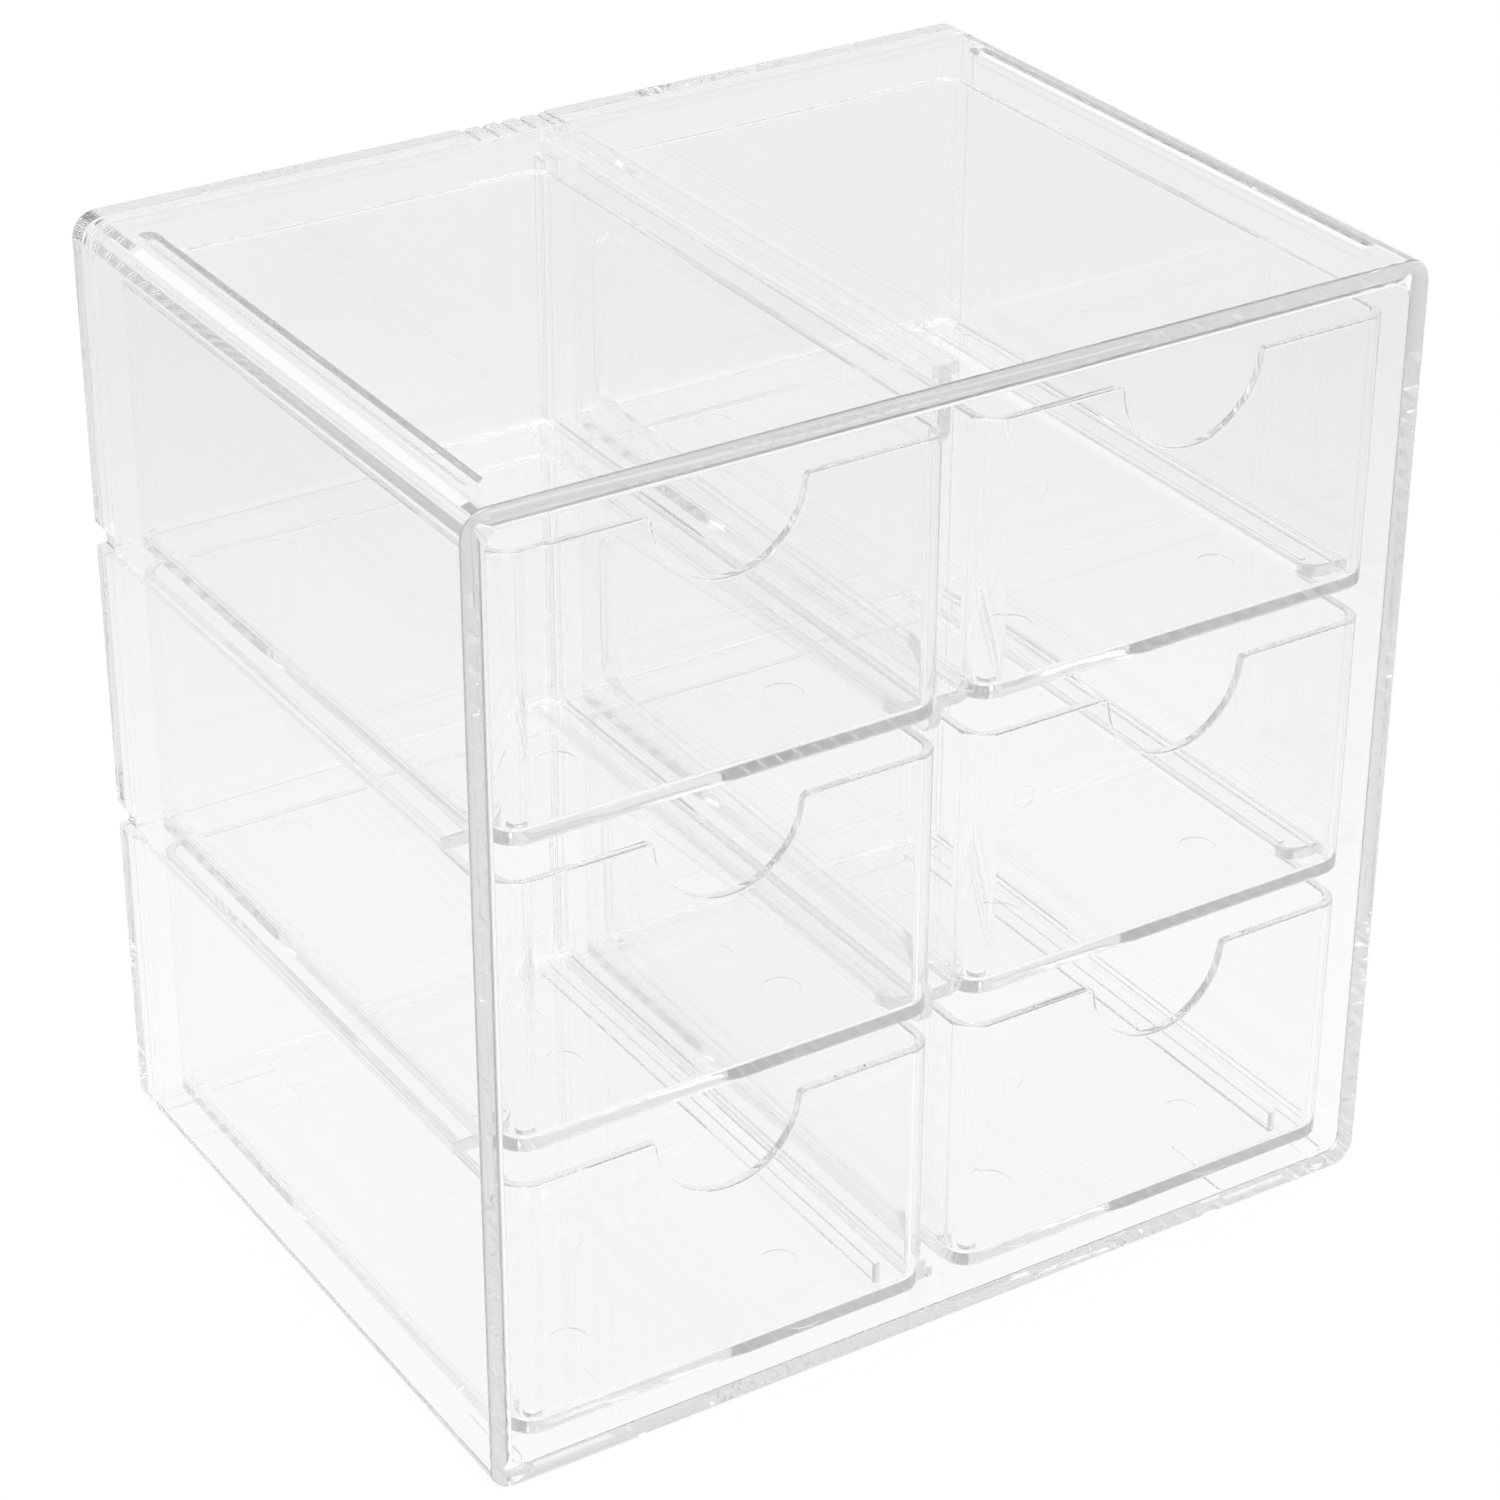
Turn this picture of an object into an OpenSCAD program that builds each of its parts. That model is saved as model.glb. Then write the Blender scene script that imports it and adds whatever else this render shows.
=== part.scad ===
// Clear six-drawer cosmetics organizer: a moulded sleeve, a rear panel, a centre comb and six drawers.
// Width runs along X, depth along Y with the front at -Y, height along Z from the resting surface.

/* [Drawers] */
// Outside width of one drawer
drawer_w = 78.6; // [60:0.2:110]
// Outside depth of one drawer, front to back
drawer_d = 121.5; // [100:0.5:180]
// Outside height of one drawer
drawer_h = 48; // [42:1:80]
// Thickness of the drawer walls
drawer_wall = 1.8; // [1.2:0.1:2.6]
// Thickness of the drawer floor
drawer_floor = 1.8; // [1.2:0.1:2.6]
// Radius of the upright corners of a drawer
drawer_r = 5; // [3:0.5:8]
// Radius of the finger notch in the drawer front
notch_r = 13.2; // [9:0.2:18]
// Radius that rounds the two upper corners of the finger notch
notch_corner_r = 1.2; // [0.4:0.1:2]

/* [Cabinet] */
// Thickness of the sleeve walls
wall = 2.8; // [2.4:0.1:4]
// Outside radius of the four long edges
edge_r = 4.5; // [3.5:0.1:7]
// Radius of the inside corners of the sleeve
bore_r = 1; // [0.5:0.1:2]
// Rounding of the outer edge at the mouth and at the rear
rim_r = 1.1; // [0.4:0.1:1.4]
// How far the drawer fronts stand behind the mouth
front_recess = 1.2; // [0.5:0.1:4]
// Head room over the top row of drawers
crown_gap = 6.2; // [4:0.1:12]

/* [Clearances] */
// Gap between a drawer and the side wall
side_gap = 2.9; // [1.5:0.1:5]
// Gap between a drawer and the centre comb
comb_gap = 1.5; // [0.8:0.1:3]
// Gap between a drawer and the glides that it runs on
slide_gap = 0.3; // [0.2:0.05:0.6]
// Gap between a drawer and the ledge over it
head_gap = 3; // [1.5:0.1:6]
// Gap behind the drawers
rear_gap = 0.8; // [0.5:0.1:3]
// Gap round pieces that are pushed together
fit_gap = 0.1; // [0.05:0.05:0.2]

/* [Ledges and glides] */
// Thickness of the ledges
ledge_t = 2.4; // [1.6:0.1:3.4]
// Width of the side ledges, from the wall to the free edge
side_ledge_w = 9.2; // [7.5:0.1:14]
// Width of the ledge on each side of the centre comb
comb_ledge_w = 7.3; // [6.5:0.1:12]
// Radius of the free corner at the front of a ledge
ledge_r = 4.5; // [2:0.1:6]
// Height of the glide ribs on the cabinet floor
glide_h = 3.9; // [2.5:0.1:6]
// Width of the glide ribs and of the glide beads
glide_t = 1.5; // [1:0.1:2.5]
// Height of the glide beads on the ledges
bead_h = 0.3; // [0.2:0.05:0.6]
// Distance of a glide from the side of the drawer over it
glide_inset = 4.5; // [3.5:0.1:5]
// Distance from the mouth to the front of the side ledges and floor glides
ledge_setback = 11; // [6:0.5:20]
// Distance from the front of a ledge to the front of its bead
bead_setback = 3; // [2:0.5:8]

/* [Centre comb] */
// Thickness of the comb
comb_t = 2.4; // [1.8:0.1:3.4]
// Distance from the mouth to the front of the comb
comb_setback = 8; // [5:0.5:16]
// Depth of the upright strip at the rear of the comb
strip_d = 19.5; // [12:0.5:30]
// Height of the comb over a row's glides, at the front
rib_rise = 8; // [5:0.1:12]
// Extra height that the rib gains towards the strip
rise_taper = 2.3; // [0:0.1:4]
// Depth of the rib under a ledge, at the front
rib_drop = 4.2; // [2.5:0.1:8]
// Extra depth that the rib under a ledge gains towards the strip
drop_taper = 6.5; // [0:0.1:8]
// Depth of the rib that hangs from the top wall
crown_rib = 12.2; // [8:0.1:20]
// Radius of the window corners next to the strip
window_r = 5.5; // [3:0.1:7]
// Radius of the nose at the front of each rail
nose_r = 6.5; // [3:0.1:7]
// Radius under the front of each rail
chin_r = 3; // [1:0.1:4]
// Height of the two guide ribs that hold the comb upright
guide_h = 2; // [1:0.1:3]
// Thickness of each guide rib
guide_t = 1.2; // [0.8:0.1:1.3]

/* [Rear panel] */
// Thickness of the panel
panel_t = 2.5; // [1.8:0.1:3.5]
// Width of the panel's rim, as seen from the side
rim_w = 8; // [6:0.5:14]
// Thickness of the rim that fits over the sleeve
rim_t = 1.4; // [1:0.05:1.5]
// Depth of the socket that holds the comb's rear edge
socket_d = 4; // [2:0.5:8]
// Width and depth of the groove at the seam
seam = 0.4; // [0.2:0.1:0.6]
// Height of the notches in the rim, next to the ledges
side_notch_h = 5.7; // [3:0.1:9]
// Width of the notch in the rim over and under the comb
comb_notch_w = 20; // [10:1:40]

/* [Top and underside] */
// Height of the corner feet
foot_h = 0.5; // [0.3:0.1:1]
// Width of a corner foot
foot_w = 27; // [15:1:40]
// Depth of a corner foot
foot_d = 18; // [12:1:30]
// Width of the channels in the top and of the pockets in the feet
channel_w = 4; // [2:0.1:6]
// Depth of the channels in the top
channel_depth = 0.8; // [0.4:0.1:1.2]
// Distance of a channel's centre line from the side
channel_inset = 6; // [5.5:0.1:12]
// Distance from the mouth to the front end of a channel
channel_setback = 7; // [4:0.5:20]
// Distance from the rear seam to the rear end of a channel
channel_rear = 6; // [3:0.5:30]
// Distance from the mouth to the pocket in a foot
pocket_setback = 3; // [2:0.5:6]

/* [Hidden] */

rows = 3;
shell_colour = [0.93, 0.95, 0.96, 0.35];
comb_colour = [0.90, 0.93, 0.95, 0.35];
drawer_colour = [0.95, 0.96, 0.97, 0.35];
round_fn = 64;
arc_steps = 8;
// How far a cut runs past the face that it opens
past = 1;

// Height from one row's glides to the next
row_pitch = slide_gap + drawer_h + head_gap + ledge_t + bead_h;
// Distance of a drawer's nearer side from the middle plane
drawer_near = comb_t / 2 + comb_gap;
drawer_far = drawer_near + drawer_w;
drawer_mid = drawer_near + drawer_w / 2;

cabinet_w = 2 * (drawer_far + side_gap + wall);
cabinet_d = front_recess + drawer_d + rear_gap + socket_d + panel_t;
cabinet_h = wall + glide_h + (rows - 1) * row_pitch + slide_gap + drawer_h + crown_gap + wall;

mouth_y = -cabinet_d / 2;
rear_y = cabinet_d / 2;
// Inner face of the rear panel, and the seam between the panel's rim and the sleeve
panel_y = rear_y - panel_t;
seam_y = rear_y - rim_w;
bore_half = cabinet_w / 2 - wall;
ceiling_z = cabinet_h - wall;
ledge_y = mouth_y + ledge_setback;
comb_y = mouth_y + comb_setback;
strip_y = panel_y - strip_d;
// Rear end of the comb's ledges, just in front of the socket ribs
rail_back_y = panel_y - socket_d - fit_gap;
glide_near = drawer_near + glide_inset;
glide_far = drawer_far - glide_inset;

// Height of the glides that carry a row of drawers, row 0 being the lowest
function row_z(row) = wall + glide_h + row * row_pitch;

// Points of a round-cornered outline. Each corner is [x, y, radius].
function unit(v) = v / norm(v);
function corner_arc(before, corner, after) =
    let (
        apex = [corner[0], corner[1]],
        u = unit([before[0], before[1]] - apex),
        v = unit([after[0], after[1]] - apex),
        half = acos(u * v) / 2,
        centre = apex + unit(u + v) * corner[2] / sin(half),
        start = apex + u * corner[2] / tan(half) - centre,
        finish = apex + v * corner[2] / tan(half) - centre,
        from = atan2(start[1], start[0]),
        turn = atan2(finish[1], finish[0]) - from,
        sweep = turn > 180 ? turn - 360 : turn < -180 ? turn + 360 : turn
    )
    [for (i = [0:arc_steps])
        let (a = from + sweep * i / arc_steps) centre + corner[2] * [cos(a), sin(a)]];
function round_corners(corners) =
    let (n = len(corners))
    [for (i = [0:n - 1])
        each corners[i][2] > 0
            ? corner_arc(corners[(i + n - 1) % n], corners[i], corners[(i + 1) % n])
            : [[corners[i][0], corners[i][1]]]];

// Stands an outline drawn in X and Z upright, from y0 back to y1
module along_y(y0, y1) {
    translate([0, y1, 0]) rotate([90, 0, 0]) linear_extrude(y1 - y0) children();
}

// Extrudes an outline drawn in Y and Z across X, between x0 and x1
module along_x(x0, x1) {
    translate([x0, 0, 0]) rotate([90, 0, 90]) linear_extrude(x1 - x0) children();
}

// Copies its children to the other side of the middle plane
module both_sides() {
    children();
    mirror([1, 0, 0]) children();
}

// Rectangle with four true round corners, centred on the origin
module round_rect(w, h, r) {
    square([w - 2 * r, h], center = true);
    square([w, h - 2 * r], center = true);
    for (sx = [-1, 1], sy = [-1, 1])
        translate([sx * (w / 2 - r), sy * (h / 2 - r)]) circle(r, $fn = round_fn);
}

// Slot outline with round ends, from y0 to y1
module slot(w, y0, y1) {
    translate([-w / 2, y0 + w / 2]) square([w, y1 - y0 - w]);
    for (y = [y0 + w / 2, y1 - w / 2])
        translate([0, y]) circle(w / 2, $fn = round_fn);
}

// Front view of the cabinet, drawn in by an inset all round
module front_view(inset) {
    translate([0, cabinet_h / 2])
        round_rect(cabinet_w - 2 * inset, cabinet_h - 2 * inset, edge_r - inset);
}

// Front view of the space inside the sleeve
module bore_view() {
    translate([0, cabinet_h / 2])
        round_rect(cabinet_w - 2 * wall, cabinet_h - 2 * wall, bore_r);
}

// The cabinet's outer form: long edges with a large radius, mouth and rear edges with a small one
module outer_form() {
    intersection() {
        along_y(mouth_y, rear_y) front_view(0);
        linear_extrude(cabinet_h) round_rect(cabinet_w, cabinet_d, rim_r);
        along_x(-cabinet_w / 2, cabinet_w / 2)
            translate([0, cabinet_h / 2]) round_rect(cabinet_d, cabinet_h, rim_r);
    }
}

// What is taken off the underside between the corner feet, and the pocket in each foot
module underside_cuts() {
    translate([0, 0, -past]) linear_extrude(foot_h + past) {
        square([cabinet_w - 2 * foot_w, cabinet_d + 2 * past], center = true);
        square([cabinet_w + 2 * past, cabinet_d - 2 * foot_d], center = true);
        for (sx = [-1, 1])
            translate([sx * (cabinet_w / 2 - channel_inset), 0]) {
                slot(channel_w, mouth_y + pocket_setback, mouth_y + foot_d + channel_w);
                slot(channel_w, rear_y - foot_d - channel_w, seam_y - pocket_setback);
            }
    }
}

// Shallow square groove round the cabinet, between y0 and y1
module seam_groove(y0, y1) {
    along_y(y0, y1) difference() {
        translate([0, cabinet_h / 2])
            square([cabinet_w + 2 * past, cabinet_h + 2 * past], center = true);
        front_view(seam);
    }
}

// Shallow channel near one side of the top
module top_channel() {
    translate([cabinet_w / 2 - channel_inset, 0, cabinet_h - channel_depth])
        linear_extrude(channel_depth + past)
            slot(channel_w, mouth_y + channel_setback, seam_y - channel_rear);
}

// Plan of a ledge that starts at x = 0 and has one round corner at its free front end
module ledge_plan(w, y0, y1) {
    polygon(round_corners([[0, y0, 0], [w, y0, ledge_r], [w, y1, 0], [0, y1, 0]]));
}

// Bead on a ledge, centred on x = 0
module bead(y0, y1) {
    linear_extrude(bead_h) slot(glide_t, y0 + bead_setback, y1);
}

// One side ledge under a row, fused to the wall at its outer edge
module side_ledge(row) {
    top = row_z(row) - bead_h;
    translate([bore_half, 0, top - ledge_t]) mirror([1, 0, 0]) linear_extrude(ledge_t)
        translate([-wall / 2, 0]) ledge_plan(side_ledge_w + wall / 2, ledge_y, panel_y - fit_gap);
    translate([glide_far, 0, top]) bead(ledge_y, panel_y - fit_gap);
}

// Glide rib on the cabinet floor, with a round front end
module floor_glide(x) {
    translate([x, 0, wall / 2]) linear_extrude(row_z(0) - wall / 2)
        slot(glide_t, ledge_y, panel_y - socket_d);
}

// Low rib beside the comb's edge, on the floor and under the top wall
module comb_guide() {
    x0 = comb_t / 2 + fit_gap;
    along_x(x0, x0 + guide_t) {
        translate([comb_y, wall / 2]) square([rail_back_y - comb_y, guide_h + wall / 2]);
        translate([comb_y, ceiling_z - guide_h]) square([rail_back_y - comb_y, guide_h + wall / 2]);
    }
}

// Sleeve with its stepped rear end, ledges, glides and guides
module cabinet_shell() {
    color(shell_colour) difference() {
        union() {
            difference() {
                intersection() {
                    outer_form();
                    union() {
                        along_y(mouth_y, seam_y) front_view(0);
                        along_y(seam_y - past, panel_y - fit_gap) front_view(rim_t + fit_gap);
                    }
                }
                along_y(mouth_y - past, rear_y) bore_view();
            }
            both_sides() {
                for (row = [1:rows - 1]) side_ledge(row);
                for (x = [glide_near, glide_far]) floor_glide(x);
                comb_guide();
            }
        }
        both_sides() top_channel();
        seam_groove(seam_y - seam, seam_y);
        underside_cuts();
    }
}

// Openings in the panel's rim: one beside each ledge, and one over and under the comb
module rim_notches() {
    depth = rim_t + fit_gap;
    along_y(seam_y - past, rear_y + past) {
        for (row = [1:rows - 1], sx = [-1, 1])
            translate([sx * (cabinet_w / 2 - depth / 2 + past / 2), row_z(row)])
                square([depth + past, side_notch_h], center = true);
        for (z = [depth / 2 - past / 2, cabinet_h - depth / 2 + past / 2])
            translate([0, z]) square([comb_notch_w, depth + past], center = true);
    }
}

// Rib of the socket that holds the comb's rear edge
module socket_rib() {
    x0 = comb_t / 2 + fit_gap;
    base = row_z(0);
    along_x(x0, x0 + guide_t)
        translate([panel_y - socket_d, base])
            square([socket_d + panel_t / 2, ceiling_z - crown_gap - base]);
}

// Rear panel with its rim round the sleeve's rear end
module back_panel() {
    color(shell_colour) difference() {
        union() {
            difference() {
                intersection() {
                    outer_form();
                    along_y(seam_y, rear_y) front_view(0);
                }
                along_y(seam_y - past, panel_y) front_view(rim_t);
            }
            both_sides() socket_rib();
        }
        rim_notches();
        seam_groove(seam_y, seam_y + seam);
        underside_cuts();
    }
}

// Window over one row, open to the front, in Y and Z. The rails above and below it taper.
module comb_window(row) {
    base = row_z(row);
    is_top = row == rows - 1;
    over = is_top ? ceiling_z + past : row_z(row + 1) - bead_h - ledge_t;
    lintel = is_top ? ceiling_z - crown_rib : over - rib_drop;
    lintel_rear = is_top ? lintel : lintel - drop_taper;
    polygon(round_corners([
        [mouth_y, base, 0],
        [comb_y + glide_t, base, 0],
        [comb_y + glide_t, base + rib_rise, nose_r],
        [strip_y, base + rib_rise + rise_taper, window_r],
        [strip_y, lintel_rear, window_r],
        [comb_y, lintel, chin_r],
        [comb_y, over, 0],
        [mouth_y, over, 0]
    ]));
}

// Ledge plate across the comb, with a bead on each side
module comb_ledge(row) {
    top = row_z(row) - bead_h;
    half = comb_t / 2 + comb_ledge_w;
    translate([0, 0, top - ledge_t]) linear_extrude(ledge_t)
        ledge_plan(half, comb_y, rail_back_y);
    translate([glide_near, 0, top]) bead(comb_y, rail_back_y);
}

// Comb between the columns: rear strip, windows open to the front and cross-shaped rails
module centre_divider() {
    color(comb_colour) {
        along_x(-comb_t / 2, comb_t / 2) difference() {
            translate([comb_y, wall]) square([panel_y - comb_y, ceiling_z - wall]);
            for (row = [0:rows - 1]) comb_window(row);
        }
        both_sides() for (row = [1:rows - 1]) comb_ledge(row);
    }
}

// Finger notch in X and Z: a half circle that meets the rim in two small round corners
module finger_notch() {
    corner_x = sqrt(pow(notch_r + notch_corner_r, 2) - pow(notch_corner_r, 2));
    tangent_z = -notch_corner_r * notch_r / (notch_r + notch_corner_r);
    circle(notch_r, $fn = 2 * round_fn);
    difference() {
        translate([-corner_x, tangent_z]) square([2 * corner_x, past - tangent_z]);
        for (sx = [-1, 1])
            translate([sx * corner_x, -notch_corner_r]) circle(notch_corner_r, $fn = round_fn);
    }
}

// One drawer in its place. Column -1 is the left one and 1 the right one.
module drawer(column, row) {
    front_y = mouth_y + front_recess;
    color(drawer_colour)
        translate([column * drawer_mid, front_y + drawer_d / 2, row_z(row) + slide_gap])
            difference() {
                linear_extrude(drawer_h) round_rect(drawer_w, drawer_d, drawer_r);
                translate([0, 0, drawer_floor]) linear_extrude(drawer_h)
                    round_rect(drawer_w - 2 * drawer_wall, drawer_d - 2 * drawer_wall,
                        drawer_r - drawer_wall);
                translate([0, 0, drawer_h])
                    along_y(-drawer_d / 2 - past, -drawer_d / 2 + drawer_wall + past)
                        finger_notch();
            }
}

module drawer_top_left() { drawer(-1, 2); }
module drawer_top_right() { drawer(1, 2); }
module drawer_middle_left() { drawer(-1, 1); }
module drawer_middle_right() { drawer(1, 1); }
module drawer_bottom_left() { drawer(-1, 0); }
module drawer_bottom_right() { drawer(1, 0); }

cabinet_shell();
back_panel();
centre_divider();
drawer_top_left();
drawer_top_right();
drawer_middle_left();
drawer_middle_right();
drawer_bottom_left();
drawer_bottom_right();
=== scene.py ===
import math

import bmesh
import bpy
from mathutils import Matrix, Vector


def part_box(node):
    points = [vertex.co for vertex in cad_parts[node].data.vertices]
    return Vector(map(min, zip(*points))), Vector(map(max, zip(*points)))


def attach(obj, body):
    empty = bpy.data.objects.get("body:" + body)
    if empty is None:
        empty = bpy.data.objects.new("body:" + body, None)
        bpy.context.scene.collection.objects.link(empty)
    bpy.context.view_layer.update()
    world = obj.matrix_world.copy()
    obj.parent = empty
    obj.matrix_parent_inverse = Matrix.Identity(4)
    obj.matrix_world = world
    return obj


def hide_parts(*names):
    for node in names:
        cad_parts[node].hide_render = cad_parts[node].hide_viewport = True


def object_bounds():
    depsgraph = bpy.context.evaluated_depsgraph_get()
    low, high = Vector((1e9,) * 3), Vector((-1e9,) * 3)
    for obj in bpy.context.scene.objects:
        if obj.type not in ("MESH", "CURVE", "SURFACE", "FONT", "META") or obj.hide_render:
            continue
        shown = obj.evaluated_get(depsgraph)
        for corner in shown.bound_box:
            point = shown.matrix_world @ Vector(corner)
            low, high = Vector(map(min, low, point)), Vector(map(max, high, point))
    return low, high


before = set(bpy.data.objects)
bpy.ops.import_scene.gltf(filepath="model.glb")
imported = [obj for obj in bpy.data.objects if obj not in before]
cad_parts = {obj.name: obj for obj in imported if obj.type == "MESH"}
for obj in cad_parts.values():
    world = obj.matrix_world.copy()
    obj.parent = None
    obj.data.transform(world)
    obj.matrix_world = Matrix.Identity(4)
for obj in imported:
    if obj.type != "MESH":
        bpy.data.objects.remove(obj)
cad_low, cad_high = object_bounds()

MM = 0.001
SQUARE_MM = MM * MM

# Steps in a quarter turn of a small edge rounding, a rim, the rear edge, a corner and a long edge
EDGE_STEPS = 4
RIM_STEPS = 6
REAR_STEPS = 8
CORNER_STEPS = 12
LONG_STEPS = 20
# Steps in the finger notch, its shoulders, a slot's round end, a channel's side, a circle and the
# corners of a window in the rear panel's rim
NOTCH_STEPS = 44
SHOULDER_STEPS = 6
SLOT_STEPS = 16
CHANNEL_STEPS = 8
CIRCLE_STEPS = 32
WINDOW_STEPS = 3
# Edges that turn more than this stay sharp
SHARP_TURN = math.radians(34)
# Faces whose directions agree to within this cosine belong to one flat patch
FLAT_DOT = 0.9999995
# Least cosine that a mitre is worked out with, so that no corner runs far off
MITRE_LEAST = 0.3

# Air left where two pieces touch, so that light crosses each of their faces in turn
CONTACT = 0.05 * MM
# How far a cutting or joined shape reaches past the face it crosses
PAST = 1 * MM

# Edge roundings, from ledges and glides down to cuts and dents
LEDGE_EDGE = 0.45 * MM
GLIDE_EDGE = 0.35 * MM
SOFT_EDGE = 0.3 * MM
GUIDE_EDGE = 0.25 * MM
BEAD_EDGE = 0.2 * MM
CUT_EDGE = 0.1 * MM
DENT_EDGE = 0.08 * MM

# Sleeve: walls, long edges, corners of the bore and edge of the mouth
WALL = 2.8 * MM
LONG_EDGE_R = 4.5 * MM
BORE_R = 1.0 * MM
RIM_R = 0.6 * MM
# The mouth's edge is thicker than the walls: how much, how deep, and the radius of its inner corners
LIP_T = 1.1 * MM
LIP_D = 2.2 * MM
LIP_R = 3 * MM

# Ledges and beads that carry the drawers, and glides on the floor
LEDGE_T = 2.4 * MM
SIDE_LEDGE_W = 9.2 * MM
LEDGE_R = 4.5 * MM
LEDGE_SETBACK = 11 * MM
BEAD_T = 1.5 * MM
BEAD_H = 0.3 * MM
BEAD_SETBACK = 3 * MM
GLIDE_INSET = 4.5 * MM
SLIDE_GAP = 0.3 * MM

# Channels in the top: depth, outer side, flat bottom, and sloping outer side, inner side and ends
CHANNEL_DEPTH = 0.8 * MM
CHANNEL_INSET = 4.6 * MM
CHANNEL_FLAT = 1.2 * MM
OUTER_SLOPE = 2 * MM
INNER_SLOPE = 0.7 * MM
END_SLOPE = 2 * MM
CHANNEL_SETBACK = 7 * MM
CHANNEL_REAR = 6 * MM

# Corner feet, left standing by cuts in the underside, and a pocket in each front foot
FOOT_H = 0.5 * MM
FOOT_W = 27 * MM
FOOT_D = 18 * MM
FOOT_R = 1 * MM
POCKET_SETBACK = 3 * MM
POCKET_W = 4 * MM
POCKET_INSET = 6 * MM
# Gate marks on the lower front edge: each one's middle and width
GATES = (-61.7 * MM, 6 * MM), (55.4 * MM, 3 * MM)
GATE_H = 1.1 * MM
GATE_DEPTH = 0.35 * MM
GATE_R = 0.4 * MM

# Rear panel: plate, rim over the sleeve's tongue, frame inside it, seam and rear edge
FIT_GAP = 0.1 * MM
SEAM = 0.6 * MM
TONGUE_INSET = 1.5 * MM
PANEL_T = 2.5 * MM
PANEL_RIM_T = 1.4 * MM
FRAME_D = 5 * MM
REAR_R = 1.1 * MM
# Windows in the rim, at the side ledges and under the comb
WINDOW_H = 4.8 * MM
WINDOW_D = 2.2 * MM
COMB_WINDOW_W = 20 * MM
# The catch fills most of the window in the top rim: its low and high x, its drop and its grooves
CATCH_FROM = -16.6 * MM
CATCH_TO = 1.2 * MM
CATCH_DROP = 0.5 * MM
CATCH_GROOVES = 5
GROOVE_W = 1.3 * MM

# Guides on the floor and the ceiling and socket ribs on the panel, which hold the comb
GUIDE_T = 1.2 * MM
GUIDE_H = 2 * MM
SOCKET_D = 4 * MM
SOCKET_DROP = 6.2 * MM

# Comb: plate, rear strip, and the tapering ribs round its windows
COMB_T = 2.4 * MM
STRIP_D = 19.5 * MM
RIB_RISE = 8 * MM
RISE_TAPER = 2.3 * MM
RIB_DROP = 4.2 * MM
DROP_TAPER = 6.5 * MM
CROWN_RIB = 12.2 * MM
COMB_WINDOW_R = 5.5 * MM
NOSE_R = 6.5 * MM
CHIN_R = 3 * MM

# Drawers: wall, corners, finger notch and its shoulders, and edges of the foot, the rim and the floor
DRAWER_WALL = 1.8 * MM
DRAWER_R = 5 * MM
NOTCH_R = 13.2 * MM
NOTCH_CORNER_R = 1.2 * MM
NOTCH_MARGIN = 3 * MM
FOOT_EDGE = 1.1 * MM
RIM_EDGE = 0.45 * MM
FLOOR_EDGE = 1.3 * MM
# Round dents of the mould's pins in a drawer's floor and front
PIN_R = 3.2 * MM
PIN_DEPTH = 0.12 * MM
PIN_FROM_SIDE = 19 * MM
PIN_FROM_END = 18 * MM
FRONT_PIN_R = 2 * MM
FRONT_PIN_IN = 10.5 * MM
FRONT_PIN_DOWN = 13.5 * MM
# Low round lump on a drawer's floor, near the front left corner
LUMP_R = 1.6 * MM
LUMP_H = 0.6 * MM
LUMP_EDGE = 0.55 * MM
LUMP_FROM_SIDE = 5.2 * MM
LUMP_FROM_FRONT = 4.8 * MM

ROWS = ("bottom", "middle", "top")
COLUMNS = ("left", "right")
TOP_ROW = len(ROWS) - 1
# Rows that slide on ledges instead of the floor's glides
LEDGE_ROWS = (1, 2)
SIDES = (-1, 1)

half_w = cad_high.x
height = cad_high.z
mouth_y = cad_low.y
rear_y = cad_high.y
seam_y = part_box("back_panel")[0].y
panel_y = rear_y - PANEL_T
frame_y = rear_y - FRAME_D
tongue_y = frame_y - FIT_GAP
ledge_y = mouth_y + LEDGE_SETBACK
bore_half = half_w - WALL
ceiling_z = height - WALL
rail_back_y = panel_y - SOCKET_D - FIT_GAP
guide_x = COMB_T / 2 + FIT_GAP
comb_low, comb_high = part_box("centre_divider")
drawer_low, drawer_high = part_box("drawer_top_right")
glide_near = drawer_low.x + GLIDE_INSET
glide_far = drawer_high.x - GLIDE_INSET


def row_z(row):
    """Height of the glides that carry a row of drawers."""
    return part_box(f"drawer_{ROWS[row]}_left")[0].z - SLIDE_GAP


# Mesh helpers


def rounded(corners, steps=CORNER_STEPS):
    """Closed outline whose corners, each (a, b, radius), are rounded by arcs."""
    points = []
    count = len(corners)
    for i, (a, b, r) in enumerate(corners):
        apex = Vector((a, b))
        if r <= 0:
            points.append(apex)
            continue
        before = Vector(corners[i - 1][:2]) - apex
        after = Vector(corners[(i + 1) % count][:2]) - apex
        before.normalize()
        after.normalize()
        half = before.angle(after) / 2
        reach = r / math.tan(half)
        centre = apex + (before + after).normalized() * (r / math.sin(half))
        start = apex + before * reach - centre
        finish = apex + after * reach - centre
        turn = math.atan2(start.x * finish.y - start.y * finish.x, start.dot(finish))
        for k in range(steps + 1):
            t = turn * k / steps
            c, s = math.cos(t), math.sin(t)
            points.append(centre + Vector((start.x * c - start.y * s, start.x * s + start.y * c)))
    return points


def rectangle(a0, b0, a1, b1, r, steps=CORNER_STEPS):
    return rounded([(a0, b0, r), (a1, b0, r), (a1, b1, r), (a0, b1, r)], steps)


def signed_area(points):
    return sum(p.x * q.y - q.x * p.y for p, q in zip(points, points[1:] + points[:1])) / 2


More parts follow.
